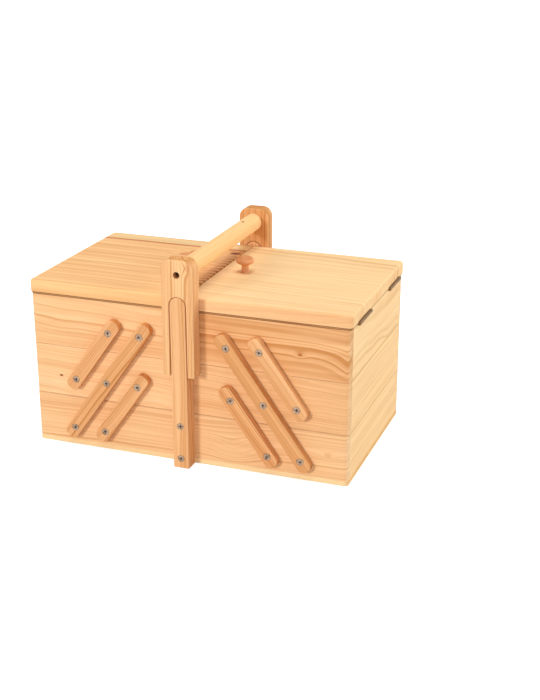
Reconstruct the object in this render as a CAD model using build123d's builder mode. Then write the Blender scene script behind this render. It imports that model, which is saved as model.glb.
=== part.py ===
from build123d import *
import os
from math import hypot

# Sewing carrier: a full-length bottom box, two pairs of half-length trays that swing out on
# wooden arms, two hinged lids, and a handle that slides on two fixed posts.
#
# Frame: millimetres, +Z up, +X to the right, the front face towards -Y. The origin is on
# the floor, under the middle of the box.

# ---- Driving dimensions ----------------------------------------------------------------
BOX_LENGTH = 375.0        # outside, end to end
BOX_DEPTH = 214.0         # outside, front face to back face of the bottom box
TIER = 60.0               # height of each tier: bottom box, middle trays, top trays
TIER_GAP = 0.3            # air between two tiers when shut
MIDDLE_GAP = 0.6          # air between the left and right trays, and between the lids
TRAY_INSET = 0.3          # the trays stand this far inside the bottom box's faces
BOARD = 10.0              # wall boards
BASE_PANEL = 6.0          # plywood under the bottom box
TRAY_PANEL = 3.0          # plywood floor of a tray
PANEL_LAP = 5.0           # how far a tray floor reaches under the boards, in its rabbet
PANEL_FIT = 0.1           # air round the edges of a tray floor in its rabbet
CORNER_RADIUS = 5.0       # rounded standing corners of boxes, base panel and lids
MEETING_CORNER = 1.5      # eased standing corners where two trays meet
EASE = 0.6                # eased edges of boards and panels

LID = 14.8
LID_OVERHANG = 1.5        # the lid stands past the end of its tray
LID_ROUND = 3.0           # rounded upper edge, on the outer three sides
LID_MEETING_ROUND = 1.5   # rounded upper edge where the lids meet

ARM_WIDTH = 16.0
ARM_THICK = 8.0
ARM_GAP = 0.5             # air between an arm and the bottom box
ARM_TOP_TIP = 16.5        # past the highest pivot
ARM_BOTTOM_TIP = 13.5     # past the lowest pivot
ARM_END_ROUND = 6.5
ARM_EASE = 0.8
PIVOT_RISE = 25.0         # pivots stand this far above the foot of their tier
ARM_INSET = 51.5          # lowest pivot of a long arm, in from the end of the box
PIVOT_STEP = 42.5         # a tier's pivots lie this much nearer the middle than those below
ARM_SPACING = 38.0        # between neighbouring arms, pivot to pivot

SCREW_HEAD = 4.0          # radii of the pivot and post screws
SCREW_SHANK = 2.0
SCREW_RIM = 0.3           # upright rim of a countersunk head
SCREW_SUNK = 0.15         # heads sit this far below the wood
PIVOT_SCREW = 16.4        # lengths
POST_SCREW = 26.0
PILOT_FIT = 0.02          # radial air round a screw in the wood that holds it
TIP_AIR = 0.2             # air past a screw's tip
TURN_FIT = 0.15           # air round a screw in the arm that turns on it
CROSS = (3.8, 0.9, 1.3)   # cross recess of a screw head: length, width and depth

POST_WIDTH = 18.0
POST_THICK = 18.0
POST_RISE = 4.75          # crown of the rounded post top, above the lids
POST_EASE = 1.0
POST_SCREW_INSET = 11.5   # lower screw above the foot of the bottom box
POST_SCREW_STEP = 39.0    # upper screw above the lower one
PIN_RADIUS = 2.0          # cross pin that keeps the handle on its post
PIN_PROUD = 2.4           # the pin stands this far out of each side of the post
PIN_DROP = 39.7           # the pin's axis below the crown of the post

PLATE_WIDTH = 36.5        # fork plates at the ends of the handle
LEG = 81.0                # straight length of the fork's legs
PLATE_CROWN = 16.5        # top of a plate above the axis of the dowel
PLATE_AIR = 0.4           # air between a plate and the bottom box's face
PLATE_CORNER = 11.0       # rounded upper corners
LEG_CORNER = 1.5          # eased lower corners
SLOT_AIR = 1.0            # air between a post and each leg
SEAT_AIR = 0.3            # air between the crown of the post and the arch over it
GROOVE_AIR = 0.3          # air round the pin in its groove
GROOVE_END_AIR = 0.5      # air past the ends of the pin
HANDLE_LIFT = 35.0        # travel of the handle
DOWEL_RADIUS = 10.5
HAND_GAP = 19.05          # between the lids and the lowered dowel
HANDLE_SCREW = 27.0
HANDLE_HEAD = 3.4         # radius and thickness of the screw's head
HANDLE_HEAD_THICK = 2.6
COUNTERBORE = 3.8         # radius and depth of the hole that hides the head
COUNTERBORE_DEEP = 9.0

KNOB_OUT = 30.0           # knob axis, from the middle of the box
KNOB_HEIGHT = 19.5
KNOB_RADIUS = 10.3
KNOB_CAP = 5.4            # half the thickness of the flattened ball
KNOB_NECK = 4.1
KNOB_BLEND = 2.0          # fillet between neck and ball
KNOB_SCREW = 24.0
KNOB_SCREW_HEAD = 3.6
KNOB_SCREW_SHANK = 1.8

HINGE_LENGTH = 46.0
HINGE_OUT = 62.0          # middle of a hinge, from the middle of the box's depth
LEAF = 0.9
LEAF_WIDTH = 8.4          # leaf, inward from the end face of the tray
LEAF_FIT = 0.05           # air round a leaf in its seat
KNUCKLE = 2.1             # knuckle radius
KNUCKLE_AIR = 0.25        # air between a knuckle and the wood or leaf beside it
KNUCKLES = 5
KNUCKLE_SPLIT = 0.2       # air between neighbouring knuckles
HINGE_PIN = 1.0
HINGE_PIN_FIT = 0.06
LEAF_SCREW = 7.0
LEAF_SCREW_HEAD = 2.0
LEAF_SCREW_HEAD_THICK = 0.5
LEAF_SCREW_SHANK = 1.0
LEAF_SCREW_OUT = 14.0     # leaf screws, from the middle of the hinge
LEAF_CROSS = (2.2, 0.5, 0.35)

HALF_TURN = 180           # degrees

# ---- Places worked out from them -------------------------------------------------------
TIERS = ("box", "middle", "top")
HALF = BOX_LENGTH / 2
FACE = BOX_DEPTH / 2                          # |y| of the bottom box's front and back
TRAY_FACE = FACE - TRAY_INSET                 # |y| of the trays' front and back
ARM_OUTER = FACE + ARM_GAP + ARM_THICK        # |y| of the arms' outer faces
PLATE_INNER = FACE + PLATE_AIR
POST_OUTER = FACE + POST_THICK                # the fork plates end flush with the posts
RIM = len(TIERS) * TIER - TIER_GAP / 2        # top of the top trays
LID_FOOT = RIM + TIER_GAP
LID_TOP = LID_FOOT + LID
HINGE_X = HALF + KNUCKLE_AIR + KNUCKLE        # hinge axis, to either side
HINGE_Z = RIM + TIER_GAP / 2
POST_TOP = LID_TOP + POST_RISE
POST_MIDDLE = FACE + POST_THICK / 2           # |y| of the posts' middles and their pins
POST_SCREW_HEIGHTS = (POST_SCREW_INSET, POST_SCREW_INSET + POST_SCREW_STEP)
PIN_HEIGHT = POST_TOP - PIN_DROP
ARCH_RADIUS = POST_WIDTH / 2 + SLOT_AIR
ARCH_CENTRE = POST_TOP + SEAT_AIR - ARCH_RADIUS
DOWEL_HEIGHT = LID_TOP + HAND_GAP + DOWEL_RADIUS
PLATE_TOP = DOWEL_HEIGHT + PLATE_CROWN
PLATE_FOOT = ARCH_CENTRE - LEG
SINK = SCREW_RIM + SCREW_SUNK                 # added to a countersink for the sunk rim
PIVOT_TIP = ARM_OUTER - SCREW_SUNK - PIVOT_SCREW
POST_TIP = POST_OUTER - SCREW_SUNK - POST_SCREW

SIDES = {"left": -1, "right": 1}
FACES = {"front": -1, "back": 1}
# Each arm: how far outside the long arm it stands, and the tiers that it joins.
ARMS = {"long": (0.0, TIERS), "lower": (-ARM_SPACING, TIERS[:2]), "upper": (ARM_SPACING, TIERS[1:])}

parts = []


def keep(builder, name):
    """Label a finished piece and list it for writing."""
    builder.part.label = name
    parts.append(builder.part)


def pivot(side, arm, tier):
    """(x, z) of the pivot that joins an arm to a tier."""
    offset, _ = ARMS[arm]
    level = TIERS.index(tier)
    return side * (HALF - ARM_INSET + offset - level * PIVOT_STEP), level * TIER + PIVOT_RISE


def pivots(side, tier):
    """All the pivots of one side in one tier."""
    return [pivot(side, arm, tier) for arm, (_, tiers) in ARMS.items() if tier in tiers]


def outward(face, y, x=0.0, z=0.0):
    """Plane at depth y on the front or back that looks away from the box, its y axis up."""
    return Plane(origin=(x, face * y, z), x_dir=(-face, 0, 0), z_dir=(0, face, 0))


def tier_span(tier):
    """Lowest and highest z of the boards of a tier."""
    foot = TIERS.index(tier) * TIER
    return foot + (BASE_PANEL if tier == "box" else TIER_GAP / 2), foot + TIER - TIER_GAP / 2


# ---- Boards and floors -----------------------------------------------------------------
def long_board(name, x_low, x_high, radii, face, depth, tier, pilots, tip):
    """Front or back board. radii are its rounded corners at x_low and x_high, depth is |y| of
    its outer face, pilots are the (x, z) of its screws and tip the |y| of their points."""
    z_low, z_high = tier_span(tier)
    middle = (x_low + x_high) / 2
    inner = depth - BOARD
    with BuildPart() as board:
        with BuildSketch(Plane.XY.offset(z_low)):
            with Locations((middle, face * (depth - BOARD / 2))):
                Rectangle(x_high - x_low, BOARD)
        extrude(amount=z_high - z_low)
        for end, radius in zip((x_low, x_high), radii):
            standing = board.edges().filter_by(Axis.Z).filter_by(
                lambda e: abs(e.center().X - end) < 0.01 and abs(e.center().Y) > depth - 0.01)
            fillet(standing, radius)
        rims = board.faces().filter_by(Plane.XY).edges()
        fillet(rims.filter_by(lambda e: abs(e.center().Y) > inner + 0.01), EASE)
        if tier != "box":
            with BuildSketch(Plane.XY.offset(z_low)):
                with Locations((middle, face * (inner + PANEL_LAP / 2))):
                    Rectangle(x_high - x_low - 2 * (BOARD - PANEL_LAP), PANEL_LAP)
            extrude(amount=TRAY_PANEL, mode=Mode.SUBTRACT)
        with Locations(*[outward(face, depth, x, z) for x, z in pilots]):
            Hole(SCREW_SHANK + PILOT_FIT, depth=depth - tip + TIP_AIR)
    keep(board, name)


def end_board(name, x_outer, side, depth, tier, hinged=False):
    """Board across one end of a box, between its front and back boards. side is the way its
    outer face looks. A hinged board has seats for the hinge leaves in its rim."""
    z_low, z_high = tier_span(tier)
    length = 2 * (depth - BOARD)
    with BuildPart() as board:
        with BuildSketch(Plane.XY.offset(z_low)):
            with Locations((x_outer - side * BOARD / 2, 0)):
                Rectangle(BOARD, length)
        extrude(amount=z_high - z_low)
        rims = board.edges().filter_by(Axis.Y)
        fillet(rims.filter_by(lambda e: abs(e.center().X - x_outer) < 0.01), EASE)
        if tier != "box":
            with BuildSketch(Plane.XY.offset(z_low)):
                with Locations((x_outer - side * (BOARD - PANEL_LAP / 2), 0)):
                    Rectangle(PANEL_LAP, length)
            extrude(amount=TRAY_PANEL, mode=Mode.SUBTRACT)
        if hinged:
            cut_leaf_seats(side, RIM, -1)
    keep(board, name)


def tray_floor(name, x_low, x_high, tier):
    """Plywood floor of a tray, in the rabbet of its four boards."""
    reach = PANEL_LAP - BOARD - PANEL_FIT
    with BuildPart() as panel:
        with BuildSketch(Plane.XY.offset(tier_span(tier)[0])):
            with Locations(((x_low + x_high) / 2, 0)):
                Rectangle(x_high - x_low + 2 * reach, 2 * (TRAY_FACE + reach))
        extrude(amount=TRAY_PANEL)
    keep(panel, name)


def bottom_box():
    """The full-length box that stands on the floor."""
    with BuildPart() as panel:
        with BuildSketch():
            RectangleRounded(BOX_LENGTH, BOX_DEPTH, CORNER_RADIUS)
        extrude(amount=BASE_PANEL)
        fillet(panel.faces().filter_by(Plane.XY).edges(), EASE)
    keep(panel, "box_bottom_panel")
    screws = [spot for side in SIDES.values() for spot in pivots(side, "box")]
    screws += [(0, height) for height in POST_SCREW_HEIGHTS]
    for where, face in FACES.items():
        long_board(f"box_{where}_board", -HALF, HALF, (CORNER_RADIUS, CORNER_RADIUS), face, FACE, "box",
                   screws, min(PIVOT_TIP, POST_TIP))
    for where, side in SIDES.items():
        end_board(f"box_{where}_board", side * HALF, side, FACE, "box")


def tray(where, side, tier):
    """One half-length tray: four boards and a floor."""
    x_low, x_high = sorted((side * MIDDLE_GAP / 2, side * HALF))
    radii = (MEETING_CORNER, CORNER_RADIUS) if side > 0 else (CORNER_RADIUS, MEETING_CORNER)
    for look, face in FACES.items():
        long_board(f"{where}_{tier}_{look}_board", x_low, x_high, radii, face, TRAY_FACE, tier,
                   pivots(side, tier), PIVOT_TIP)
    end_board(f"{where}_{tier}_outer_board", side * HALF, side, TRAY_FACE, tier, hinged=tier == "top")
    end_board(f"{where}_{tier}_inner_board", side * MIDDLE_GAP / 2, -side, TRAY_FACE, tier)
    tray_floor(f"{where}_{tier}_floor", x_low, x_high, tier)


# ---- Screws ----------------------------------------------------------------------------
def screw_blank(head, rim, shank, length, cross, countersunk=True):
    """A cross-head screw along -Z with the face of its head at the origin."""
    shoulder = rim + (head - shank if countersunk else 0.0)
    with BuildPart() as screw:
        with BuildSketch(Plane.XZ):
            with BuildLine():
                Polyline((0, 0), (head, 0), (head, -rim), (shank, -shoulder), (shank, -length + shank),
                         (0, -length), close=True)
            make_face()
        revolve(axis=Axis.Z)
        with BuildSketch():
            Rectangle(cross[0], cross[1])
            Rectangle(cross[1], cross[0])
        extrude(amount=-cross[2], mode=Mode.SUBTRACT)
    return screw.part


def screw_group(name, blank, planes):
    """Identical screws, one in each plane: separate solids in one node."""
    with BuildPart() as group:
        with Locations(*planes):
            add(blank)
    keep(group, name)


def pivot_screws():
    """The screws that the arms turn on, held by the box or the tray behind the arm."""
    blank = screw_blank(SCREW_HEAD, SCREW_RIM, SCREW_SHANK, PIVOT_SCREW, CROSS)
    y = ARM_OUTER - SCREW_SUNK
    screw_group("box_pivot_screws", blank, [outward(face, y, x, z) for face in FACES.values()
                                            for side in SIDES.values() for x, z in pivots(side, "box")])
    for where, side in SIDES.items():
        for tier in TIERS[1:]:
            screw_group(f"{where}_{tier}_pivot_screws", blank,
                        [outward(face, y, x, z) for face in FACES.values() for x, z in pivots(side, tier)])


# ---- Arms ------------------------------------------------------------------------------
def arm_pair(name, side, arm):
    """The front arm and the back arm of one kind: flat bars with rounded ends."""
    _, tiers = ARMS[arm]
    (x_low, z_low), (x_high, z_high) = pivot(side, arm, tiers[0]), pivot(side, arm, tiers[-1])
    reach = hypot(x_high - x_low, z_high - z_low)
    length = reach + ARM_BOTTOM_TIP + ARM_TOP_TIP
    with BuildPart() as pair:
        for face in FACES.values():
            seat = Plane(origin=(x_low, face * (FACE + ARM_GAP), z_low),
                         x_dir=(x_high - x_low, 0, z_high - z_low), z_dir=(0, face, 0))
            with BuildSketch(seat):
                with Locations((length / 2 - ARM_BOTTOM_TIP, 0)):
                    RectangleRounded(length, ARM_WIDTH, ARM_END_ROUND)
            extrude(amount=ARM_THICK)
        outer = pair.faces().sort_by(Axis.Y)
        fillet(outer[0].edges() + outer[-1].edges(), ARM_EASE)
        with Locations(*[outward(face, ARM_OUTER, *pivot(side, arm, tier))
                         for face in FACES.values() for tier in tiers]):
            CounterSinkHole(SCREW_SHANK + TURN_FIT, SCREW_HEAD + SINK + TURN_FIT, depth=ARM_THICK,
                            counter_sink_angle=90)
    keep(pair, name)


# ---- Posts and handle ------------------------------------------------------------------
def post(name, face):
    """Square post with a rounded top, screwed to the bottom box only."""
    with BuildPart() as bar:
        with BuildSketch(outward(face, FACE)):
            shoulder = POST_TOP - POST_WIDTH / 2
            with Locations((0, shoulder / 2)):
                Rectangle(POST_WIDTH, shoulder)
            with Locations((0, shoulder)):
                Circle(POST_WIDTH / 2)
        extrude(amount=POST_THICK)
        fillet(bar.faces().sort_by(Axis.Y)[0 if face < 0 else -1].edges(), POST_EASE)
        with Locations(*[outward(face, POST_OUTER, 0, height) for height in POST_SCREW_HEIGHTS]):
            CounterSinkHole(SCREW_SHANK + PILOT_FIT, SCREW_HEAD + SINK + PILOT_FIT, depth=POST_THICK,
                            counter_sink_angle=90)
        with BuildSketch(Plane.YZ):
            with Locations((face * POST_MIDDLE, PIN_HEIGHT)):
                Circle(PIN_RADIUS + PILOT_FIT)
        extrude(amount=POST_WIDTH, both=True, mode=Mode.SUBTRACT)
    keep(bar, name)


def post_fixings():
    """Cross pins of the posts, and the screws that hold the posts to the bottom box."""
    with BuildPart() as pins:
        with BuildSketch(Plane.YZ):
            with Locations(*[(face * POST_MIDDLE, PIN_HEIGHT) for face in FACES.values()]):
                Circle(PIN_RADIUS)
        extrude(amount=POST_WIDTH / 2 + PIN_PROUD, both=True)
    keep(pins, "post_pins")
    blank = screw_blank(SCREW_HEAD, SCREW_RIM, SCREW_SHANK, POST_SCREW, CROSS)
    screw_group("post_screws", blank, [outward(face, POST_OUTER - SCREW_SUNK, 0, height)
                                       for face in FACES.values() for height in POST_SCREW_HEIGHTS])


def fork_plate(name, face):
    """Handle end: a plate whose slot straddles the post and slides on it. A groove down the
    inside of each leg takes the pin, and its lower end stops the handle at the top."""
    with BuildPart() as plate:
        with BuildSketch(outward(face, PLATE_INNER)) as outline:
            with Locations((0, (PLATE_TOP + PLATE_FOOT) / 2)):
                Rectangle(PLATE_WIDTH, PLATE_TOP - PLATE_FOOT)
            with Locations((0, (ARCH_CENTRE + PLATE_FOOT) / 2)):
                Rectangle(2 * ARCH_RADIUS, ARCH_CENTRE - PLATE_FOOT, mode=Mode.SUBTRACT)
            with Locations((0, ARCH_CENTRE)):
                Circle(ARCH_RADIUS, mode=Mode.SUBTRACT)
            fillet(outline.vertices().group_by(Axis.Y)[-1], PLATE_CORNER)
            fillet(outline.vertices().group_by(Axis.Y)[0], LEG_CORNER)
        extrude(amount=POST_OUTER - PLATE_INNER)
        sides = plate.faces().sort_by(Axis.Y)
        fillet(sides[0].edges() + sides[-1].edges(), POST_EASE)
        low = PIN_HEIGHT - HANDLE_LIFT - PIN_RADIUS - GROOVE_AIR
        high = PIN_HEIGHT + PIN_RADIUS + GROOVE_AIR
        with BuildSketch(Plane.YZ):
            with Locations((face * POST_MIDDLE, (low + high) / 2)):
                SlotOverall(high - low, 2 * (PIN_RADIUS + GROOVE_AIR), rotation=90)
        extrude(amount=POST_WIDTH / 2 + PIN_PROUD + GROOVE_END_AIR, both=True, mode=Mode.SUBTRACT)
        with Locations(outward(face, POST_OUTER, 0, DOWEL_HEIGHT)):
            CounterBoreHole(SCREW_SHANK + PILOT_FIT, COUNTERBORE, COUNTERBORE_DEEP,
                            depth=POST_OUTER - PLATE_INNER)
    keep(plate, name)


def handle():
    """Dowel between two fork plates, with a screw into each of its ends."""
    for where, face in FACES.items():
        fork_plate(f"handle_{where}_plate", face)
    head_seat = POST_OUTER - COUNTERBORE_DEEP
    tip = head_seat + HANDLE_HEAD_THICK - HANDLE_SCREW
    with BuildPart() as dowel:
        with BuildSketch(Plane.XZ):
            with Locations((0, DOWEL_HEIGHT)):
                Circle(DOWEL_RADIUS)
        extrude(amount=PLATE_INNER, both=True)
        with Locations(*[outward(face, PLATE_INNER, 0, DOWEL_HEIGHT) for face in FACES.values()]):
            Hole(SCREW_SHANK + PILOT_FIT, depth=PLATE_INNER - tip + TIP_AIR)
    keep(dowel, "handle_dowel")
    blank = screw_blank(HANDLE_HEAD, HANDLE_HEAD_THICK, SCREW_SHANK, HANDLE_SCREW, CROSS, countersunk=False)
    screw_group("handle_screws", blank, [outward(face, head_seat + HANDLE_HEAD_THICK, 0, DOWEL_HEIGHT)
                                         for face in FACES.values()])


# ---- Lids, knobs and hinges ------------------------------------------------------------
def cut_leaf_seats(side, z, up):
    """Cut the seats of both hinge leaves into the part being built. z is the wood's surface
    and up says whether the seat goes up or down from it."""
    reach = LEAF_WIDTH + LEAF_FIT
    x = side * (HALF - reach / 2 + BOARD / 2)
    with BuildSketch(Plane.XY.offset(z)) as seats:
        with Locations(*[(x, face * HINGE_OUT) for face in FACES.values()]):
            Rectangle(reach + BOARD, HINGE_LENGTH + 2 * LEAF_FIT)
    extrude(seats.sketch, amount=up * LEAF, mode=Mode.SUBTRACT)
    with Locations(*leaf_screw_planes(side, z, -up)):
        Hole(LEAF_SCREW_SHANK + PILOT_FIT, depth=LEAF_SCREW + TIP_AIR)


def leaf_screw_planes(side, z, look):
    """Planes at the leaf screws of one side, at height z, looking up (+1) or down (-1)."""
    x = side * (HALF - LEAF_WIDTH / 2)
    places = [face * HINGE_OUT + step * LEAF_SCREW_OUT for face in FACES.values() for step in (-1, 1)]
    return [Plane(origin=(x, y, z), x_dir=(1, 0, 0), z_dir=(0, 0, look)) for y in places]


def lid(name, side):
    """Solid wooden lid with rounded edges, seats for the hinge leaves and room for their
    knuckles, and a countersunk hole for the knob's screw."""
    x_near, x_far = side * MIDDLE_GAP / 2, side * (HALF + LID_OVERHANG)
    with BuildPart() as board:
        with BuildSketch(Plane.XY.offset(LID_FOOT)):
            with Locations(((x_near + x_far) / 2, 0)):
                Rectangle(abs(x_far - x_near), 2 * TRAY_FACE)
        extrude(amount=LID)
        fillet(board.edges().filter_by(Axis.Z).filter_by(lambda e: abs(e.center().X - x_far) < 0.01),
               CORNER_RADIUS)
        top = board.faces().sort_by(Axis.Z)[-1].edges()
        fillet(top.filter_by(lambda e: abs(e.center().X - x_near) > 0.01), LID_ROUND)
        top = board.faces().sort_by(Axis.Z)[-1].edges()
        fillet(top.filter_by(lambda e: abs(e.center().X - x_near) < 0.01), LID_MEETING_ROUND)
        foot = board.faces().sort_by(Axis.Z)[0].edges()
        fillet(foot.filter_by(lambda e: abs(e.center().X - x_near) > 0.01), EASE)
        cut_leaf_seats(side, LID_FOOT, 1)
        with BuildSketch(Plane.XY.offset(LID_FOOT)):
            with Locations(*[(side * (HALF + BOARD / 2), face * HINGE_OUT) for face in FACES.values()]):
                Rectangle(BOARD, HINGE_LENGTH + 2 * KNUCKLE_AIR)
        extrude(amount=HINGE_Z + KNUCKLE + KNUCKLE_AIR - LID_FOOT, mode=Mode.SUBTRACT)
        with Locations(Plane(origin=(side * KNOB_OUT, 0, LID_FOOT), z_dir=(0, 0, -1))):
            CounterSinkHole(KNOB_SCREW_SHANK + PILOT_FIT, KNOB_SCREW_HEAD + SINK + PILOT_FIT, depth=LID,
                            counter_sink_angle=90)
    keep(board, name)


def knob(name, side):
    """Turned knob: a flattened ball on a short neck."""
    x = side * KNOB_OUT
    ball = KNOB_HEIGHT - KNOB_CAP
    with BuildPart() as turned:
        with BuildSketch(Plane(origin=(x, 0, LID_TOP), x_dir=(1, 0, 0), z_dir=(0, -1, 0))):
            with BuildLine():
                bow = EllipticalCenterArc((0, ball), KNOB_RADIUS, KNOB_CAP, start_angle=-HALF_TURN / 2,
                                          arc_size=HALF_TURN)
                Line(bow @ 1, bow @ 0)
            make_face()
            with Locations((KNOB_NECK / 2, ball / 2)):
                Rectangle(KNOB_NECK, ball)
        revolve(axis=Axis((x, 0, 0), (0, 0, 1)))
        neck_top = turned.edges().filter_by(GeomType.CIRCLE).sort_by(Axis.Z)[1]
        fillet(neck_top, KNOB_BLEND)
        with Locations(Plane(origin=(x, 0, LID_TOP), z_dir=(0, 0, -1))):
            Hole(KNOB_SCREW_SHANK + PILOT_FIT, depth=LID_FOOT + SCREW_SUNK + KNOB_SCREW + TIP_AIR - LID_TOP)
    keep(turned, name)


def hinge_plane(side, y):
    """Plane across a hinge's axis at y, looking along it."""
    return Plane(origin=(side * HINGE_X, y, HINGE_Z), x_dir=(1, 0, 0), z_dir=(0, 1, 0))


def knuckle_spans(first):
    """(start, length) of every second knuckle along a hinge, counted from its middle."""
    pitch = HINGE_LENGTH / KNUCKLES
    spans = []
    for index in range(first, KNUCKLES, 2):
        start = -HINGE_LENGTH / 2 + index * pitch + (KNUCKLE_SPLIT / 2 if index else 0)
        stop = -HINGE_LENGTH / 2 + (index + 1) * pitch - (KNUCKLE_SPLIT / 2 if index < KNUCKLES - 1 else 0)
        spans.append((start, stop - start))
    return spans


def hinge_leaves(name, side, up):
    """The two leaves on the tray (up -1) or on the lid (up +1), with their knuckles."""
    surface = RIM if up < 0 else LID_FOOT
    x_in, x_stop = HALF - LEAF_WIDTH, HINGE_X - KNUCKLE - KNUCKLE_AIR
    with BuildPart() as leaves:
        for middle in (face * HINGE_OUT for face in FACES.values()):
            spans = knuckle_spans(0 if up < 0 else 1)
            with BuildSketch(Plane.XY.offset(surface)):
                with Locations((side * (x_in + x_stop) / 2, middle)):
                    Rectangle(x_stop - x_in, HINGE_LENGTH)
                for start, length in spans:
                    with Locations((side * (x_in + HINGE_X) / 2, middle + start + length / 2)):
                        Rectangle(HINGE_X - x_in, length)
            extrude(amount=up * LEAF)
            for start, length in spans:
                with BuildSketch(hinge_plane(side, middle + start)):
                    Circle(KNUCKLE)
                extrude(amount=length)
            with BuildSketch(hinge_plane(side, middle)):
                Circle(HINGE_PIN + HINGE_PIN_FIT)
            extrude(amount=HINGE_LENGTH, both=True, mode=Mode.SUBTRACT)
        with Locations(*leaf_screw_planes(side, surface, -up)):
            CounterBoreHole(LEAF_SCREW_SHANK + PILOT_FIT, LEAF_SCREW_HEAD + LEAF_FIT, LEAF_SCREW_HEAD_THICK,
                            depth=LEAF)
    keep(leaves, name)


def lid_set(where, side):
    """One lid with its knob, its two hinges and their screws."""
    lid(f"{where}_lid", side)
    knob(f"{where}_knob", side)
    blank = screw_blank(KNOB_SCREW_HEAD, SCREW_RIM, KNOB_SCREW_SHANK, KNOB_SCREW, CROSS)
    screw_group(f"{where}_knob_screw", blank,
                [Plane(origin=(side * KNOB_OUT, 0, LID_FOOT + SCREW_SUNK), z_dir=(0, 0, -1))])
    hinge_leaves(f"{where}_hinge_tray_leaves", side, -1)
    hinge_leaves(f"{where}_hinge_lid_leaves", side, 1)
    with BuildPart() as pins:
        with Locations(*[(side * HINGE_X, face * HINGE_OUT, HINGE_Z) for face in FACES.values()]):
            Cylinder(HINGE_PIN, HINGE_LENGTH, rotation=(90, 0, 0))
    keep(pins, f"{where}_hinge_pins")
    blank = screw_blank(LEAF_SCREW_HEAD, LEAF_SCREW_HEAD_THICK, LEAF_SCREW_SHANK, LEAF_SCREW, LEAF_CROSS,
                        countersunk=False)
    screw_group(f"{where}_hinge_screws_tray", blank, leaf_screw_planes(side, RIM, 1))
    screw_group(f"{where}_hinge_screws_lid", blank, leaf_screw_planes(side, LID_FOOT, -1))


# ---- The whole carrier -----------------------------------------------------------------
bottom_box()
for where, face in FACES.items():
    post(f"{where}_post", face)
post_fixings()
handle()
for where, side in SIDES.items():
    for tier in TIERS[1:]:
        tray(where, side, tier)
    for arm in ARMS:
        arm_pair(f"{where}_{arm}_arms", side, arm)
    lid_set(where, side)
pivot_screws()

os.makedirs("parts", exist_ok=True)
for part in parts:
    export_step(part, f"parts/{part.label}.step")
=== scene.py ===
"""Looks of the sewing carrier: pine with growth rings, fibres and knots, zinc-plated screws and
bronzed hinges, on a plain pale floor. Lengths inside the materials are in millimetres."""

import math

import bpy
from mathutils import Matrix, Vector

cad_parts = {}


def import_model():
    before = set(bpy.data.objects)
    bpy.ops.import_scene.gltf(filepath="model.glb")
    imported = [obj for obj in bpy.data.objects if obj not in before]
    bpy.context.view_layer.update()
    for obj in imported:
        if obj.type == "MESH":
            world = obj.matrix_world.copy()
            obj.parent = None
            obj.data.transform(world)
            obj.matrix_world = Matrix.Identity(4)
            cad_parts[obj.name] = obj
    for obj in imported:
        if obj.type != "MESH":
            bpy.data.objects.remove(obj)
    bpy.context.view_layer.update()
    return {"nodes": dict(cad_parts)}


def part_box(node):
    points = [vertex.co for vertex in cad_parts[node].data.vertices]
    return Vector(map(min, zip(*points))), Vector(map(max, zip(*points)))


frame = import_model()
nodes = frame["nodes"]

MM = 0.001

# ---- Camera and light ------------------------------------------------------------------
CAMERA_AZIMUTH = 19.8      # degrees to the right of straight on
CAMERA_ELEVATION = 20.72
CAMERA_DISTANCE = 1511.0
CAMERA_ASIDE = 56.5        # how far the line of sight passes beside and above the origin
CAMERA_ABOVE = 90.0
CAMERA_LENS = 64.6
SENSOR = 36.0
CLIP_START = 0.05

WHITE = (1, 1, 1, 1)
WORLD_LIGHT = 0.30
FLOOR_REACH = 6.0          # metres from the middle to each side of the floor
FLOOR_GREY = 0.65          # the floor's colour
FLOOR_GLOW = 0.68          # its glow near the object, only where it is seen
FLOOR_FADE = (0.3, 1.6)    # metres from the middle over which the glow grows to white

LAMP_TARGET = (0, 0, 0.1)
LAMPS = {                  # place in metres, width in metres, watts
    "key": ((-0.8, -2.3, 0.8), 0.45, 29),
    "overhead": ((0.2, -0.2, 2.3), 1.5, 27),
    "front": ((0.7, -2.5, 0.5), 1.2, 9),
    "right": ((2.3, 0.6, 0.7), 1.2, 28),
    "rear": ((-1.3, 2.0, 0.8), 1.6, 13),
}

# ---- Timber colours, linear ------------------------------------------------------------
HONEY = (0.93, 0.55, 0.275)         # most long boards of the box and the trays
AMBER = (0.885, 0.485, 0.225)       # the most resinous of them
CREAM = (0.945, 0.635, 0.325)       # end boards and the panels beneath
RUSSET = (0.80, 0.385, 0.19)        # knobs
LEFT_LID = (0.94, 0.54, 0.24)
LEFT_LID_STRIP = (0.93, 0.635, 0.31)    # its second board, beyond the glue line
RIGHT_LID = (0.94, 0.63, 0.32)
POST = (0.90, 0.505, 0.24)
DOWEL = (0.93, 0.575, 0.255)
# The back plate's darker colour is painted shade: its inner face is seen in shade.
PLATES = {"front": (0.915, 0.53, 0.255), "back": (0.78, 0.405, 0.17)}
ARMS = {"left_long": (0.84, 0.445, 0.20), "left_lower": (0.83, 0.435, 0.195),
        "left_upper": (0.84, 0.44, 0.20), "right_long": (0.80, 0.405, 0.17),
        "right_lower": (0.84, 0.425, 0.185), "right_upper": (0.88, 0.475, 0.22)}

# These are multiplied with a colour.
LINE = (0.72, 0.56, 0.40)           # what a growth line leaves of the wood's colour
SPRING = (1.05, 1.13, 1.22)         # and what the palest wood adds to it
END_TINT = (0.88, 0.78, 0.64)       # end grain is darker
SAWN_TINT = (0.98, 1.12, 1.25)      # but sanded pale at the corners of the box and the trays
RIGHT_LID_END = (1.0, 0.98, 0.98)   # and hardly darker on the right lid
EDGE_TINT = (0.97, 0.82, 0.78)      # the long edges of the right lid are more orange

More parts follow.
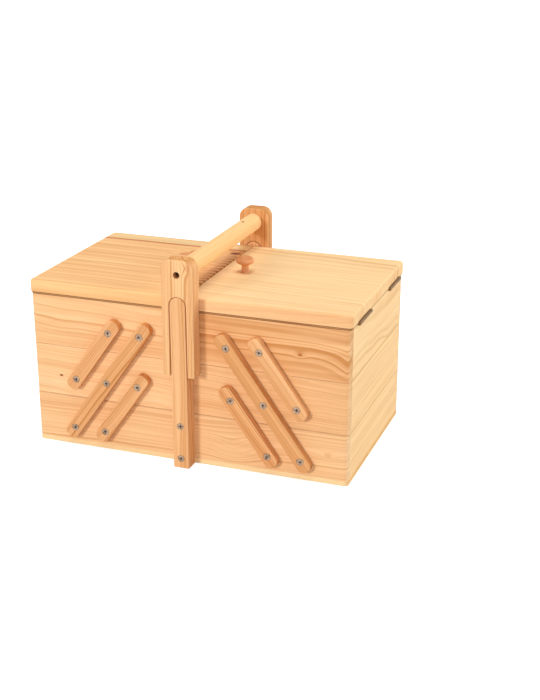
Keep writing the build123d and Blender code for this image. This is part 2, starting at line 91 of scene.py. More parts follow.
HEART = (0.60, 0.15, 0.04)          # a sound knot is red, a dead one dark
KNOT = (0.30, 0.10, 0.035)
RESIN = (0.58, 0.20, 0.07)          # in the glue line of the left lid
SHADED_RIPPLE = (0.38, 0.145, 0.035)       # painted shade with dark ripples beside the gap between the lids
JOINT_SHADE = (0.13, 0.040, 0.005)        # painted shade in the joints between the tiers and under the lids
OILY = (0.03, 0.025, 0.02)          # in the recesses of the screws' heads

# Directions of the grain and of two axes across it, for the three ways a board can lie.
AXES = {"X": ((1, 0, 0), (0, 1, 0), (0, 0, 1)),
        "Y": ((0, 1, 0), (1, 0, 0), (0, 0, 1)),
        "Z": ((0, 0, 1), (1, 0, 0), (0, 1, 0))}
ACROSS = (0, 1, 0)                  # in grain space: a knot runs along one of the two
THROUGH = (0, 0, 1)
BACKWARDS = (0, 1, 0)               # in the object's own space
UP = (0, 0, 1)


# ---- Node trees ------------------------------------------------------------------------
FLOAT, VECTOR, COLOUR = "NodeSocketFloat", "NodeSocketVector", "NodeSocketColor"


class Tree:
    """Short ways to add nodes to a node tree."""

    def __init__(self, tree):
        self.tree = tree

    def add(self, kind, inputs=None, **settings):
        """A node with its settings and inputs. An input is a value or the socket that feeds it."""
        made = self.tree.nodes.new(kind)
        for name, value in settings.items():
            setattr(made, name, value)
        for key, value in (inputs or {}).items():
            self.feed(made.inputs[key], value)
        return made

    def feed(self, socket, value):
        if isinstance(value, bpy.types.NodeSocket):
            self.tree.links.new(value, socket)
        else:
            socket.default_value = value

    def math(self, operation, *values, clamp=False):
        made = self.add("ShaderNodeMath", operation=operation, use_clamp=clamp)
        for socket, value in zip(made.inputs, values):
            self.feed(socket, value)
        return made.outputs[0]

    def vector(self, operation, *values, scale=None):
        made = self.add("ShaderNodeVectorMath", operation=operation)
        for socket, value in zip(made.inputs, values):
            self.feed(socket, value)
        if scale is not None:
            self.feed(made.inputs["Scale"], scale)
        name = "Value" if operation in ("DOT_PRODUCT", "LENGTH") else "Vector"
        return made.outputs[name]

    def parts(self, vector):
        """A vector's three parts."""
        return self.add("ShaderNodeSeparateXYZ", {0: vector}).outputs[:3]

    def joined(self, *parts):
        """The vector with these three parts."""
        return self.add("ShaderNodeCombineXYZ", dict(zip("XYZ", parts))).outputs[0]

    def step(self, value, low, high):
        """0 below low, 1 above high, smooth between them."""
        made = self.add("ShaderNodeMapRange", {"Value": value, "From Min": low, "From Max": high},
                        interpolation_type="SMOOTHSTEP")
        return made.outputs["Result"]

    def fall(self, value, low, high):
        """1 below low, 0 above high, smooth between them."""
        return self.math("SUBTRACT", 1.0, self.step(value, low, high))

    def span(self, value, low, high):
        """A value from 0 to 1 turned into one from low to high."""
        made = self.add("ShaderNodeMapRange", {"Value": value, "To Min": low, "To Max": high})
        return made.outputs["Result"]

    def noise(self, vector, scale, detail=2.0, rough=0.5):
        """A noise over a place. scale is one number, or three for the three directions."""
        if isinstance(scale, tuple):
            vector, scale = self.vector("MULTIPLY", vector, scale), 1.0
        return self.add("ShaderNodeTexNoise", {"Vector": vector, "Scale": scale, "Detail": detail,
                                               "Roughness": rough}).outputs["Fac"]

    def noise_over(self, number, scale, detail=2.0, rough=0.5):
        """A noise over one number."""
        return self.add("ShaderNodeTexNoise", {"W": number, "Scale": scale, "Detail": detail,
                                               "Roughness": rough},
                        noise_dimensions="1D").outputs["Fac"]

    def mix(self, factor, first, second, blend="MIX"):
        made = self.add("ShaderNodeMix", data_type="RGBA", blend_type=blend)
        self.feed(made.inputs[0], factor)
        self.feed(made.inputs[6], self.colour(first))
        self.feed(made.inputs[7], self.colour(second))
        return made.outputs[2]

    def tinted(self, colour, tint):
        return self.mix(1.0, colour, tint, blend="MULTIPLY")

    @staticmethod
    def colour(value):
        """A colour as a socket takes it: three numbers get an alpha of 1."""
        return (*value, 1.0) if isinstance(value, tuple) and len(value) == 3 else value


def new_group(name, inputs, outputs):
    """An empty node group, its Tree, and the sockets of its inputs and outputs."""
    group = bpy.data.node_groups.new(name, "ShaderNodeTree")
    for label, kind in inputs:
        group.interface.new_socket(label, in_out="INPUT", socket_type=kind)
    for label, kind in outputs:
        group.interface.new_socket(label, in_out="OUTPUT", socket_type=kind)
    tree = Tree(group)
    return group, tree, tree.add("NodeGroupInput").outputs, tree.add("NodeGroupOutput").inputs


def new_material(name):
    """An empty material with its Tree and its output."""
    material = bpy.data.materials.new(name)
    material.use_nodes = True
    material.node_tree.nodes.clear()
    tree = Tree(material.node_tree)
    return material, tree, tree.add("ShaderNodeOutputMaterial").inputs["Surface"]


def dress(node, material):
    """Give a CAD node one material."""
    mesh = nodes[node].data
    mesh.materials.clear()
    mesh.materials.append(material)


def corners(node):
    """A node's lowest and highest corners, in millimetres."""
    return [tuple(value / MM for value in corner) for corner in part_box(node)]


# ---- Knots -----------------------------------------------------------------------------
KNOT_SQUEEZE = (0.62, 1.0, 1.0)    # a knot is longer along the grain
KNOT_REACH = 2.6                   # how far it pushes the rings aside, and how much, in its radii
KNOT_PUSH = 1.9
KNOT_NOISE = 0.25                  # scale of its uneven outline, and how uneven it is
KNOT_RAGGED = (0.8, 1.2)
KNOT_CORE = (0.72, 1.05)           # where the core ends, in radii
KNOT_RIM = 0.92                    # where the dark rim is
KNOT_RIM_NEAR = (0.72, 0.98)       # from how near to it the wood darkens


def knot_group():
    """A knot through a board: how far it pushes the rings aside, and how much of the place is
    knot. Vector is in grain space: x along the grain. Face is the direction the knot runs in."""
    group, t, given, out = new_group(
        "knot", [("Vector", VECTOR), ("Centre", VECTOR), ("Face", VECTOR), ("Radius", FLOAT)],
        [("Push", FLOAT), ("Core", FLOAT), ("Rim", FLOAT)])
    away = t.vector("SUBTRACT", given["Vector"], given["Centre"])
    through = t.vector("SCALE", given["Face"], scale=t.vector("DOT_PRODUCT", away, given["Face"]))
    squeezed = t.vector("MULTIPLY", t.vector("SUBTRACT", away, through), KNOT_SQUEEZE)
    radii = t.math("DIVIDE", t.vector("LENGTH", squeezed), given["Radius"])

    squared = t.math("POWER", t.math("DIVIDE", radii, KNOT_REACH), 2.0)
    fade = t.math("EXPONENT", t.math("MULTIPLY", squared, -1.0))
    t.feed(out["Push"], t.math("MULTIPLY", fade, t.math("MULTIPLY", given["Radius"], KNOT_PUSH)))

    ragged = t.math("MULTIPLY", radii, t.span(t.noise(given["Vector"], KNOT_NOISE), *KNOT_RAGGED))
    t.feed(out["Core"], t.fall(ragged, *KNOT_CORE))
    from_rim = t.math("ABSOLUTE", t.math("SUBTRACT", ragged, KNOT_RIM))
    t.feed(out["Rim"], t.step(t.math("SUBTRACT", 1.0, from_rim), *KNOT_RIM_NEAR))
    return group


# ---- Growth rings ----------------------------------------------------------------------
# Scales of noises, per millimetre along the grain and twice across it.
SLOW_WAVES = (0.009, 0.012, 0.012)
QUICK_WAVES = (0.03, 0.05, 0.05)
FADING_LINES = (0.008, 0.05, 0.05)
SEED_STEP = (137.0, 61.0, 1.0)     # from one seed's place in the noises to the next
SEED_YEARS = 9.1

SLOW_SWAY = 8.0                    # how far the waves push a ring either way
QUICK_SWAY = 1.3
DRIFT_PACE = 0.23                  # how fast ring widths change from year to year
DRIFT = 2.2                        # and by how many years the rings run ahead or behind
SLOW_RISE = (0.15, 0.75)           # parts of a year over which the wood darkens slowly,
SHARP_RISE = (0.55, 0.88)          # then faster,
FALL = (0.92, 1.0)                 # and becomes pale again
SLOW_SHARE = 0.28
SHARP_SHARE = 0.72
YEAR_CHANCE = (0.3, 1.25)          # some years are darker than others
LINE_FADING = (0.3, 1.5)           # and a line fades along its way


def ring_radius(t, given, place):
    """How far from the pith a place is. Slow waves bend the rings along the grain, and small ones
    keep their lines from being ruled."""
    lean = t.vector("SCALE", given["Lean"], scale=t.parts(given["Vector"])[0])
    middle = t.vector("ADD", given["Pith"], lean)
    radial = t.vector("MULTIPLY", t.vector("SUBTRACT", given["Vector"], middle), (0.0, 1.0, 1.0))
    slow = t.span(t.noise(place, SLOW_WAVES, 1.0), -SLOW_SWAY, SLOW_SWAY)
    quick = t.span(t.noise(place, QUICK_WAVES), -QUICK_SWAY, QUICK_SWAY)
    wave = t.math("MULTIPLY", t.math("ADD", slow, quick), given["Wave"])
    return t.math("ADD", t.math("ADD", t.vector("LENGTH", radial), wave), given["Push"])


def late_wood(t, given, place):
    """How dark a place is within its year. Ring widths vary from year to year, and a ring darkens
    slowly and ends at a sharp line."""
    years = t.math("DIVIDE", ring_radius(t, given, place), given["Spacing"])
    drift = t.noise_over(t.math("ADD", years, t.math("MULTIPLY", given["Seed"], SEED_YEARS)), DRIFT_PACE)
    years = t.math("ADD", years, t.span(drift, -DRIFT, DRIFT))
    year = t.math("FLOOR", years)
    phase = t.math("SUBTRACT", years, year)
    rise = t.math("ADD", t.math("MULTIPLY", t.step(phase, *SLOW_RISE), SLOW_SHARE),
                  t.math("MULTIPLY", t.step(phase, *SHARP_RISE), SHARP_SHARE))
    rise = t.math("MULTIPLY", rise, t.fall(phase, *FALL))
    chance = t.add("ShaderNodeTexWhiteNoise", {"W": t.math("ADD", year, given["Seed"])},
                   noise_dimensions="1D").outputs["Value"]
    fading = t.span(t.noise(place, FADING_LINES, 1.0), *LINE_FADING)
    rise = t.math("MULTIPLY", rise, t.math("MULTIPLY", t.span(chance, *YEAR_CHANCE), fading))
    return t.math("MULTIPLY", rise, given["Contrast"], clamp=True)


# ---- Timber ----------------------------------------------------------------------------
# Scales of noises, as above.
FIBRES = (0.018, 1.3, 1.3)
PORES = (0.11, 3.1, 3.1)
PATCHES = (0.006, 0.03, 0.03)
BANDS = (0.004, 0.14, 0.14)

PORE_LEVEL = (0.66, 0.78)          # where the noise is this high there is a pore
PORE_DARK = 0.35
PATCH_PALE = (-0.5, 1.4)           # a patch's share of the palest wood
BAND_DARK = (-0.5, 0.9)            # a band's share of the lines' colour
STREAK = (1.12, 0.88)              # from the palest to the darkest fibre
STREAK_RED = 0.4                   # fibres change the red less than the green, and the blue more
STREAK_BLUE = 1.5
DEAD = (0.45, 0.85)                # from this dark on a knot counts as dead
CORE_DARK = 1.35
RIM_DARK = 0.55
EDGE_HIGHLIGHT = (0.1, 0.6)             # how pale the painted highlight along the edges is, patch by patch

ROUGH = (0.40, 0.54)               # roughness along the fibres
LINE_SMOOTH = 0.08                 # growth lines are smoother, edges and ends rougher
EDGE_ROUGH = 0.06
END_ROUGH = 0.2
FIBRE_HEIGHT = 0.5                 # how much fibres, lines and pores raise or sink the surface
LINE_HEIGHT = 0.6
PORE_DEPTH = 0.45
WOOD_BUMP = 0.35, 0.25 * MM        # strength and depth
SHINE = 0.006                      # sanded wood has hardly any

EDGE_REACH = (0.5, 2.2)                  # how far the painted edge highlight, and the rougher edge, reach from an edge
END_FACE = (0.45, 0.9)             # how square to the grain a face is before it is end grain


def timber_group():
    """Pine cut from a round log. Vector is in grain space, in millimetres: x along the grain.
    Pith is where the log's middle passes, Lean how it runs off with x."""
    group, t, given, out = new_group(
        "timber",
        [("Vector", VECTOR), ("End", FLOAT), ("Edge", FLOAT), ("Base", COLOUR), ("Pith", VECTOR),
         ("Lean", VECTOR), ("Spacing", FLOAT), ("Contrast", FLOAT), ("Seed", FLOAT), ("Push", FLOAT),
         ("Core", FLOAT), ("Rim", FLOAT), ("Wave", FLOAT), ("Tint", COLOUR)],
        [("Color", COLOUR), ("Roughness", FLOAT), ("Height", FLOAT)])
    place = t.vector("ADD", given["Vector"], t.vector("SCALE", SEED_STEP, scale=given["Seed"]))
    late = late_wood(t, given, place)
    fibre = t.noise(place, FIBRES, 3.0, 0.6)
    pore = t.step(t.noise(place, PORES, 1.0), *PORE_LEVEL)
    patch = t.noise(place, PATCHES)
    band = t.span(t.noise(place, BANDS, 1.0), *BAND_DARK)

    line = t.tinted(given["Base"], LINE)
    spring = t.tinted(given["Base"], SPRING)
    wood = t.mix(t.span(patch, *PATCH_PALE), given["Base"], spring)
    wood = t.mix(t.math("MULTIPLY", band, given["Contrast"], clamp=True), wood, line)
    wood = t.mix(late, wood, line)
    streak = t.span(fibre, *STREAK)
    wood = t.tinted(wood, t.joined(t.math("POWER", streak, STREAK_RED), streak,
                                   t.math("POWER", streak, STREAK_BLUE)))
    wood = t.mix(t.math("MULTIPLY", pore, PORE_DARK), wood, line)
    heart = t.mix(t.step(given["Core"], *DEAD), HEART, KNOT)
    wood = t.mix(t.math("MULTIPLY", given["Core"], CORE_DARK, clamp=True), wood, heart)
    wood = t.mix(t.math("MULTIPLY", given["Rim"], RIM_DARK), wood, KNOT)
    # Paler along the edges: a painted highlight where rounded edges catch the light.
    wood = t.mix(t.math("MULTIPLY", given["Edge"], t.span(patch, *EDGE_HIGHLIGHT)), wood, spring)
    t.feed(out["Color"], t.mix(given["End"], wood, t.tinted(wood, given["Tint"])))

    rough = t.math("SUBTRACT", t.span(fibre, *ROUGH), t.math("MULTIPLY", late, LINE_SMOOTH))
    rough = t.math("ADD", rough, t.math("MULTIPLY", given["Edge"], EDGE_ROUGH))
    t.feed(out["Roughness"], t.math("ADD", rough, t.math("MULTIPLY", given["End"], END_ROUGH)))
    height = t.math("ADD", t.math("MULTIPLY", fibre, FIBRE_HEIGHT), t.math("MULTIPLY", late, LINE_HEIGHT))
    t.feed(out["Height"], t.math("SUBTRACT", height, t.math("MULTIPLY", pore, PORE_DEPTH)))
    return group


TIMBER = timber_group()
KNOTTED = knot_group()


def near_edge(t, place, low, high):
    """1 along the edges of a board from low to high, 0 on its faces."""
    inward = t.vector("MINIMUM", t.vector("SUBTRACT", place, tuple(low)),
                      t.vector("SUBTRACT", tuple(high), place))
    a, b, c = t.parts(inward)
    second = t.math("MAXIMUM", t.math("MINIMUM", a, b),
                    t.math("MINIMUM", t.math("MAXIMUM", a, b), c))
    return t.fall(second, *EDGE_REACH)


def knots_at(t, grain_place, knots):
    """What a board's knots do at a place: their push on the rings, their cores and their rims."""
    push, core, rim = 0.0, 0.0, 0.0
    for along, across, through, radius, face, darkness in knots:
        spot = t.add("ShaderNodeGroup", {}, node_tree=KNOTTED)
        t.feed(spot.inputs["Vector"], grain_place)
        spot.inputs["Centre"].default_value = (along, across, through)
        spot.inputs["Face"].default_value = face
        spot.inputs["Radius"].default_value = radius
        push = t.math("ADD", push, spot.outputs["Push"])
        core = t.math("MAXIMUM", core, t.math("MULTIPLY", spot.outputs["Core"], darkness))
        rim = t.math("MAXIMUM", rim, t.math("MULTIPLY", spot.outputs["Rim"], darkness))
    return push, core, rim


# ---- Glue line -------------------------------------------------------------------------
SEAM_WAVES = (0.012, 0.0, 0.0)
SEAM_SWAY = 2.5
SEAM_WIDTH = (1.6, 4.2)            # the resin's dark middle and its reach, either way
SEAM_DARK = 0.85
SEAM_SEED = 3.7                    # the second board's seed and place in the log differ by these
SEAM_JUMP = (0.0, 33.0, -11.0)


def beyond_seam(t, place, across, where):
    """1 beyond a glue line and 0 before it, and how much of the place is the line's resin."""
    sway = t.span(t.noise(place, SEAM_WAVES), -SEAM_SWAY, SEAM_SWAY)
    past = t.math("SUBTRACT", t.math("ADD", across, sway), where)
    resin = t.fall(t.math("ABSOLUTE", past), *SEAM_WIDTH)
    return t.math("GREATER_THAN", past, 0.0), t.math("MULTIPLY", resin, SEAM_DARK)


def timber(name, grain="X", base=HONEY, pith=(-60, 40), lean=(0.0, 0.0), spacing=3.6, contrast=0.5,
           wave=1.0, seed=0.0, knots=(), axes=None, origin=(0, 0, 0), box=None, seam=None, finish=None,
           tint=END_TINT):
    """A pine material. grain is the board's long axis. pith, lean and knots are across the grain
    in the order of AXES. A knot is (along, across, through, radius, face, darkness): its middle, its
    radius, the axis it runs along and how dark its core is. box is the board's corners, for a painted
    highlight along its edges. seam is (place across, colour beyond): a glue line with a darker seam of
    resin beside another board. finish is a last change of the colour: a function of the tree, place
    and colour."""
    material, t, surface = new_material(name)
    axes = axes or AXES[grain]
    texture = t.add("ShaderNodeTexCoord")
    scaled = t.vector("SCALE", texture.outputs["Object"], scale=1 / MM)
    place = t.vector("SUBTRACT", scaled, origin)
    parts = [t.vector("DOT_PRODUCT", place, axis) for axis in axes]
    grain_place = t.joined(*parts)
    end = t.math("ABSOLUTE", t.vector("DOT_PRODUCT", texture.outputs["Normal"], axes[0]))
    resin = None
    if seam:
        where, beyond = seam
        other, resin = beyond_seam(t, place, parts[1], where)
        seed = t.math("ADD", seed, t.math("MULTIPLY", other, SEAM_SEED))
        base = t.mix(other, base, beyond)
        grain_place = t.vector("ADD", grain_place, t.vector("SCALE", SEAM_JUMP, scale=other))
    push, core, rim = knots_at(t, grain_place, knots)
    values = {"Vector": grain_place, "End": t.step(end, *END_FACE), "Base": t.colour(base),
              "Pith": (0.0, *pith), "Lean": (0.0, *lean), "Spacing": spacing, "Contrast": contrast,
              "Seed": seed, "Push": push, "Core": core, "Rim": rim, "Wave": wave,
              "Tint": t.colour(tint), "Edge": near_edge(t, scaled, *box) if box else 0.0}
    wood = t.add("ShaderNodeGroup", {}, node_tree=TIMBER)
    for key, value in values.items():
        t.feed(wood.inputs[key], value)
    colour = wood.outputs["Color"]
    if resin is not None:
        colour = t.mix(resin, colour, RESIN)
    if finish:
        colour = finish(t, place, colour)
    strength, depth = WOOD_BUMP
    bump = t.add("ShaderNodeBump", {"Strength": strength, "Distance": depth,
                                    "Height": wood.outputs["Height"]})
    shader = t.add("ShaderNodeBsdfPrincipled", {
        "Base Color": colour, "Roughness": wood.outputs["Roughness"],
        "Normal": bump.outputs["Normal"], "Specular IOR Level": SHINE})
    t.feed(surface, shader.outputs[0])
    return material


# ---- Painted shade in the joints and beside the gap between the lids, edges ------------
# Height of the joint between the trays and the lids.
RIM = (corners("left_top_front_board")[1][2] + corners("left_lid")[0][2]) / 2
# How dark the painted shade is in the joint between the trays and the lids.
LID_JOINT_DARK = 0.95
JOINT_SHADE_REACH = (0.6, 1.8)           # how far the painted shade reaches from the joint, on the piece beside it
UPRIGHT = (0.35, 0.85)             # how level a face is before it gets no painted shade
LONG_EDGE = (0.2, 0.55)            # how far a face looks to the front or back before it is tinted

# Painted shade on the left lid beside the gap between the lids, under the dowel, with ripples of end grain
# across it.
RIPPLE_PITCH = 10.0
RIPPLE_WAVES = (0.10, 0.03, 0.0)
RIPPLE_SWAY = 5.0
RIPPLE_OUTER = (-13.5, -8.0)       # x over which the ripples appear,
RIPPLE_INNER = (-9.0, -0.5)        # and over which they deepen towards the gap
OUTER_SHARE = 0.45
INNER_SHARE = 0.55
RIPPLE_DEPTH = (0.16, 0.95)        # from the palest to the darkest place of a ripple
RIPPLE_START = (-92.0, -66.0)      # y over which they begin and end
RIPPLE_STOP = (46.0, 64.0)


def facing(t, axis):
    """1 on faces square to an axis, 0 on faces along it."""
    normal = t.add("ShaderNodeTexCoord").outputs["Normal"]
    return t.math("ABSOLUTE", t.vector("DOT_PRODUCT", normal, axis))


def shaded_joint(level, below, edge=None, strength=LID_JOINT_DARK):
    """Painted shade: a dark line along the joint at a height, on the upright faces of the piece below or
    above it. edge tints the front and back edges of that piece."""
    def finish(t, place, colour):
        height = t.parts(place)[2]
        away = t.math("SUBTRACT", level, height) if below else t.math("SUBTRACT", height, level)
        if edge:
            long_side = t.step(facing(t, BACKWARDS), *LONG_EDGE)
            colour = t.mix(long_side, colour, t.tinted(colour, edge))
        dark = t.math("MULTIPLY", t.fall(away, *JOINT_SHADE_REACH), t.fall(facing(t, UP), *UPRIGHT))
        return t.mix(t.math("MULTIPLY", dark, strength), colour, JOINT_SHADE)
    return finish


def shaded_rippled_rim(t, place, colour):
    """The left lid's inner edge, darker with painted shade and ripples, and painted shade at its joint."""
    x, y, _ = t.parts(place)
    warp = t.span(t.noise(place, RIPPLE_WAVES), -RIPPLE_SWAY, RIPPLE_SWAY)
    ripple = t.math("SINE", t.math("MULTIPLY", t.math("ADD", y, warp), 2 * math.pi / RIPPLE_PITCH))
    crest = t.math("MULTIPLY", t.math("ADD", ripple, 1.0), 0.5)
    fading = t.math("ADD", t.math("MULTIPLY", t.step(x, *RIPPLE_OUTER), OUTER_SHARE),
                    t.math("MULTIPLY", t.step(x, *RIPPLE_INNER), INNER_SHARE))
    depth = t.math("MULTIPLY", fading, t.span(crest, *RIPPLE_DEPTH))
    reach = t.math("MULTIPLY", t.step(y, *RIPPLE_START), t.fall(y, *RIPPLE_STOP))
    shade = t.math("MULTIPLY", depth, reach, clamp=True)
    return shaded_joint(RIM, below=False)(t, place, t.mix(shade, colour, SHADED_RIPPLE))


# ---- Boards ----------------------------------------------------------------------------
SIDES = {"left": -1, "right": 1}
TIERS = ("middle", "top")

# Where the log's pith is: how far from the object's middle, and how far above the board's own.
# Long boards are cut aslant through the rings, end boards nearly square to them. Each value is
# followed by how much it differs between boards.
LONG_DEPTH = 62, 8
LONG_RISE = 60, 14
END_DEPTH = 150, 20
END_RISE = 0, 95
RING_WIDTH = 3.6, 0.6
PITH_LEAN = 0.02                   # at most, either way
FIRST_SEED, BOARD_SEED = 1.0, 1.7
TURN_SCATTER, WIDE_SCATTER = 12.9898, 78.233    # they scatter the sines of the seeds

JOINT_ABOVE = 0.3                  # how far above a board's top its joint is
# How dark the painted shade is in the joint above a board.
JOINT_DARK = 0.40
FACE_JOINT_DARK = 0.12             # between the trays' fronts, and between their backs

# The boards that are seen best, each with its own figure. FACE is the box's front.
FACE = corners("box_front_board")[0][1]
LOOKS = {
    "box_front_board": dict(base=(0.92, 0.545, 0.275), pith=(-78, -48), lean=(-0.02, 0.03), spacing=3.6,
                            contrast=0.55, wave=0.45,
                            knots=((165, FACE, 34, 2.5, ACROSS, 0.15),
                                   (56, FACE, 22, 6.0, ACROSS, 0.0))),
    "left_middle_front_board": dict(pith=(-48, 40), lean=(0.02, 0.0), spacing=3.8, contrast=0.34,
                                    knots=((-154.9, FACE, 83.8, 1.3, ACROSS, 0.9),)),
    "left_top_front_board": dict(pith=(-58, 84), lean=(-0.03, -0.06), spacing=4.0, contrast=0.75,
                                 wave=0.6),
    "right_middle_front_board": dict(base=(0.88, 0.495, 0.235), pith=(-64, 22), lean=(0.0, -0.04),
                                     spacing=3.6, contrast=0.5),
    "right_top_front_board": dict(base=AMBER, pith=(-66, 118), lean=(0.0, -0.03), spacing=4.6,
                                  contrast=1.35, wave=0.4,
                                  knots=((132.1, FACE, 145.5, 1.6, ACROSS, 0.6),
                                         (210, FACE, 138, 7.5, ACROSS, 0.0))),
}


def board_cut(name, look, seed):
    """A board's own cut of timber: where it lay in the log, from its seed."""
    low, high = corners(name)
    middle = round((low[2] + high[2]) / 2)
    turn = math.sin(seed * TURN_SCATTER)
    wide = math.sin(seed * WIDE_SCATTER)
    if look in ("front", "back"):
        side = -1 if look == "front" else 1
        (depth, depth_change), (rise, rise_change) = LONG_DEPTH, LONG_RISE
        cut = dict(grain="X", base=HONEY, contrast=0.45, wave=1.0)
    else:
        side = math.copysign(1, wide)
        (depth, depth_change), (rise, rise_change) = END_DEPTH, END_RISE
        cut = dict(grain="Y", base=CREAM, contrast=0.42, wave=0.6)
    width, width_change = RING_WIDTH
    return dict(cut, pith=(side * depth + depth_change * wide, middle + rise + rise_change * turn),
                lean=(PITH_LEAN * turn, PITH_LEAN * wide), spacing=width + width_change * wide,
                tint=SAWN_TINT, seed=seed, box=(low, high))


def joint_finish(name, look):
    """The painted shade in the joint above a board. Boards inside the carrier get none."""
    if look == "inner":
        return None
    if "_top_" in name:
        return shaded_joint(RIM, below=True)
    faint = "_middle_" in name and look in ("front", "back")
    return shaded_joint(corners(name)[1][2] + JOINT_ABOVE, below=True,
                  strength=FACE_JOINT_DARK if faint else JOINT_DARK)


def board_looks():
    """Every wall board, each with the next seed of a fixed sequence."""
    names = [(f"box_{look}_board", look) for look in ("front", "back", "left", "right")]
    names += [(f"{side}_{tier}_{look}_board", look) for side in SIDES for tier in TIERS
              for look in ("front", "back", "inner", "outer")]
    seed = FIRST_SEED
    for name, look in names:
        seed += BOARD_SEED
        cut = dict(board_cut(name, look, seed), **LOOKS.get(name, {}))
        dress(name, timber(name, finish=joint_finish(name, look), **cut))


def panel_looks():
    """The panel under the box and the trays' floors."""
    for name in ["box_bottom_panel"] + [f"{side}_{tier}_floor" for side in SIDES for tier in TIERS]:
        dress(name, timber(name, base=CREAM, pith=(10, 900), spacing=2.6, contrast=0.22, wave=0.7,
                           seed=len(name)))


# ---- Lids and knobs --------------------------------------------------------------------
LID_TOP = corners("left_lid")[1][2]


def lid_looks():
    left = dict(base=LEFT_LID, pith=(-190, 330), lean=(0.02, 0.05), contrast=0.8,
                seam=(80.0, LEFT_LID_STRIP), finish=shaded_rippled_rim,
                knots=((-61, 45, LID_TOP, 6.5, THROUGH, 0.42), (-7.5, 66, LID_TOP, 4.2, THROUGH, 0.85)))
    right = dict(base=RIGHT_LID, tint=RIGHT_LID_END, pith=(-250, 330), lean=(-0.05, 0.02),
                 contrast=0.45, finish=shaded_joint(RIM, below=False, edge=EDGE_TINT))
    for side, look in (("left", left), ("right", right)):
        name = f"{side}_lid"
        dress(name, timber(name, spacing=5.6, wave=0.6, seed=11.0 + SIDES[side], box=corners(name),
                           **look))


def knob_looks():
    for side, sign in SIDES.items():
        name = f"{side}_knob"
        low, high = corners(name)
        middle = (low[0] + high[0]) / 2
        dress(name, timber(name, grain="Z", base=RUSSET, pith=(middle + 26, 9), spacing=2.2,
                           contrast=0.55, seed=15.0 + sign))


# ---- Arms and handle -------------------------------------------------------------------
PLATE_FACE = corners("handle_front_plate")[0][1]
DOWEL_TOP = corners("handle_dowel")[1][2]


def arm_looks():
    """Arms, each pair cut from one strip with fine straight grain."""
    for number, (arm, shade) in enumerate(ARMS.items()):
        name = f"{arm}_arms"
        low, high = (Vector(corner) for corner in corners(name))
        run = Vector((high.x - low.x, 0, high.z - low.z)).normalized()
        run.x *= 1 if arm.startswith("left") else -1
        across = Vector(BACKWARDS).cross(run)
        dress(name, timber(name, axes=(tuple(run), BACKWARDS, tuple(across)),
                           origin=tuple((low + high) / 2), base=shade, pith=(-70, 42 + 3 * number),
                           spacing=2.5, contrast=1.1, wave=0.35, seed=20.0 + 3.1 * number))


def handle_looks():
    front_knots = ((232.9, 12.2, PLATE_FACE, 2.2, THROUGH, 0.2),)
    for number, (look, sign) in enumerate((("front", -1), ("back", 1))):
        post, plate = f"{look}_post", f"handle_{look}_plate"
        dress(post, timber(post, grain="Z", base=POST, pith=(-46, sign * 85), spacing=2.7,
                           contrast=1.1, wave=0.5, seed=31.0 + number, box=corners(post)))
        # The back plate's colour carries painted shade.
        dress(plate, timber(plate, grain="Z", base=PLATES[look], pith=(56, sign * 84), lean=(0.04, 0.0),
                            spacing=2.9, contrast=1.1, wave=0.6, seed=34.0 + number,
                            box=corners(plate), knots=front_knots if look == "front" else ()))
    dress("handle_dowel", timber("handle_dowel", grain="Y", base=DOWEL, pith=(-23, 192), spacing=3.4,
                                 contrast=0.35, wave=0.5, seed=37.0,
                                 knots=((66.8, 1.9, DOWEL_TOP, 1.6, THROUGH, 0.7),)))


# ---- Metal -----------------------------------------------------------------------------
# Colour, colour where it is stained or scratched, roughness.
# The steel's warm brown colour is a painted reflection of the wood around the screws.
STEEL_WITH_WOOD_REFLECTION = (0.43, 0.31, 0.22), (0.13, 0.08, 0.055), 0.42
BRONZE = (0.32, 0.18, 0.075), (0.07, 0.04, 0.02), 0.42
# Dark oxide of the handle's screws: its dark brown is painted shade, for the bottom of their deep holes.
SHADED_OXIDE = (0.10, 0.055, 0.03), (0.04, 0.02, 0.012), 0.55

STAIN_SCALE = 0.55
STAINED = (0.42, 0.72)             # where the noise is this high there is a stain
SCRATCH_SCALE = 5.2
SCRATCHED = (-0.1, 0.35)           # from the least to the most darkened by scratches
RECESS = (0.05, 0.6)               # how far below the heads' faces the oil lies
SCRATCH_ROUGH = (-0.08, 0.12)      # how much scratches and stains change the roughness
STAIN_ROUGH = (-0.05, 0.08)
METAL_BUMP = 0.25, 0.05 * MM       # strength and depth


def metal(name, colour, dark, roughness, head=None):
    """A metal with small changes of tone, stains and fine scratches. head is how far in front of and
    behind the middle of the object screw heads end: below it their recesses are dark with oil."""
    material, t, surface = new_material(name)
    place = t.vector("SCALE", t.add("ShaderNodeTexCoord").outputs["Object"], scale=1 / MM)
    stain = t.noise(place, STAIN_SCALE, 3.0, 0.6)
    fine = t.noise(place, SCRATCH_SCALE, 2.0, 0.7)
    tone = t.mix(t.step(stain, *STAINED), colour, dark)
    tone = t.mix(t.span(fine, *SCRATCHED), tone, dark)
    if head:
        out = t.math("ABSOLUTE", t.parts(place)[1])
        tone = t.mix(t.step(t.math("SUBTRACT", head, out), *RECESS), tone, OILY)
    smoothest, roughest = (roughness + change for change in SCRATCH_ROUGH)
    rough = t.math("ADD", t.span(fine, smoothest, roughest), t.span(stain, *STAIN_ROUGH))
    strength, depth = METAL_BUMP
    bump = t.add("ShaderNodeBump", {"Strength": strength, "Distance": depth, "Height": fine})
    shader = t.add("ShaderNodeBsdfPrincipled", {"Base Color": tone, "Metallic": 1.0, "Roughness": rough,
                                                "Normal": bump.outputs["Normal"]})
    t.feed(surface, shader.outputs[0])
    return material


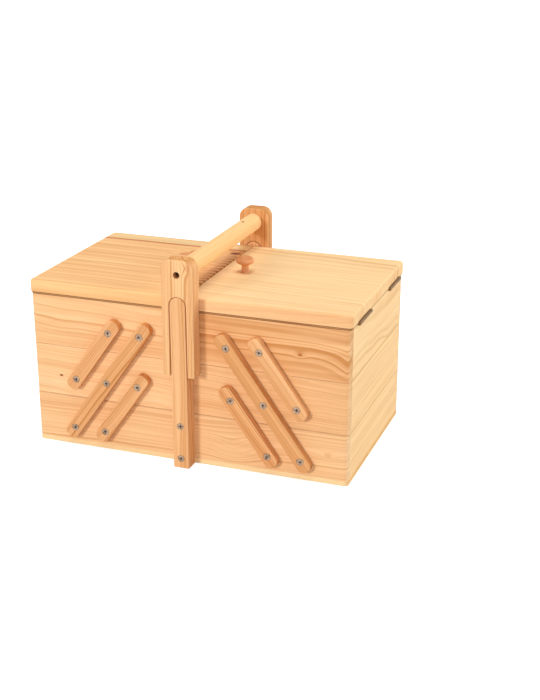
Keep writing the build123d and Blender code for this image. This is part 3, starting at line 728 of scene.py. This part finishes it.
def metal_looks():
    """Screws, pins and hinges. Screws with heads in the front and the back have oily recesses."""
    bronze = metal("bronze", *BRONZE)
    shaded_oxide = metal("shaded_oxide", *SHADED_OXIDE)
    for name in nodes:
        # The handle's screws are dark with the painted shade of their deep holes.
        if name == "handle_screws":
            dress(name, shaded_oxide)
        elif "hinge" in name:
            dress(name, bronze)
        elif "pivot_screws" in name or name == "post_screws":
            dress(name, metal(name, *STEEL_WITH_WOOD_REFLECTION, head=corners(name)[1][1]))
        elif "screw" in name or name == "post_pins":
            dress(name, metal(name, *STEEL_WITH_WOOD_REFLECTION))


# ---- Stage, camera and lights ----------------------------------------------------------
def seen(t):
    """1 where a surface is looked at, also in a reflection or through glass, and 0 elsewhere."""
    path = t.add("ShaderNodeLightPath").outputs
    direct = t.math("MAXIMUM", path["Is Camera Ray"], path["Is Glossy Ray"])
    return t.math("MAXIMUM", direct, path["Is Transmission Ray"])


def floor():
    """A white floor that keeps the object's shadow."""
    mesh = bpy.data.meshes.new("floor")
    square = ((-1, -1), (1, -1), (1, 1), (-1, 1))
    mesh.from_pydata([(x * FLOOR_REACH, y * FLOOR_REACH, 0) for x, y in square], [], [(0, 1, 2, 3)])
    made = bpy.data.objects.new("floor", mesh)
    bpy.context.scene.collection.objects.link(made)
    material, t, surface = new_material("floor")
    lit = t.add("ShaderNodeBsdfDiffuse", {"Color": (*[FLOOR_GREY] * 3, 1)})
    away = t.vector("LENGTH", t.add("ShaderNodeTexCoord").outputs["Object"])
    strength = t.span(t.step(away, *FLOOR_FADE), FLOOR_GLOW, 1.0)
    glow = t.add("ShaderNodeEmission", {"Color": WHITE, "Strength": t.math("MULTIPLY", seen(t), strength)})
    t.feed(surface, t.add("ShaderNodeAddShader", {0: lit.outputs[0], 1: glow.outputs[0]}).outputs[0])
    mesh.materials.append(material)
    made.visible_shadow = False


def world():
    """A soft light from all sides, and a white background where it is seen."""
    made = bpy.data.worlds.new("studio")
    made.use_nodes = True
    made.node_tree.nodes.clear()
    t = Tree(made.node_tree)
    plain = t.add("ShaderNodeBackground", {"Color": WHITE, "Strength": WORLD_LIGHT})
    white = t.add("ShaderNodeBackground", {"Color": WHITE, "Strength": 1.0})
    both = t.add("ShaderNodeMixShader", {0: seen(t), 1: plain.outputs[0], 2: white.outputs[0]})
    t.feed(t.add("ShaderNodeOutputWorld").inputs["Surface"], both.outputs[0])
    bpy.context.scene.world = made


def camera():
    azimuth, elevation = math.radians(CAMERA_AZIMUTH), math.radians(CAMERA_ELEVATION)
    back = Vector((math.sin(azimuth) * math.cos(elevation), -math.cos(azimuth) * math.cos(elevation),
                   math.sin(elevation)))
    right = Vector((math.cos(azimuth), math.sin(azimuth), 0))
    up = back.cross(right)
    data = bpy.data.cameras.new("camera")
    data.lens = CAMERA_LENS
    data.sensor_width = SENSOR
    data.clip_start = CLIP_START
    made = bpy.data.objects.new("camera", data)
    made.location = (back * CAMERA_DISTANCE + right * CAMERA_ASIDE + up * CAMERA_ABOVE) * MM
    made.rotation_euler = back.to_track_quat("Z", "Y").to_euler()
    bpy.context.scene.collection.objects.link(made)
    bpy.context.scene.camera = made


def lamps():
    """Soft square lamps that shine at the object."""
    for name, (place, width, power) in LAMPS.items():
        data = bpy.data.lights.new(name, "AREA")
        data.size = width
        data.energy = power
        made = bpy.data.objects.new(name, data)
        made.location = place
        aim = Vector(LAMP_TARGET) - Vector(place)
        made.rotation_euler = aim.to_track_quat("-Z", "Y").to_euler()
        bpy.context.scene.collection.objects.link(made)


board_looks()
lid_looks()
knob_looks()
arm_looks()
handle_looks()
panel_looks()
metal_looks()
floor()
world()
camera()
lamps()
bpy.context.scene.view_settings.view_transform = "Standard"
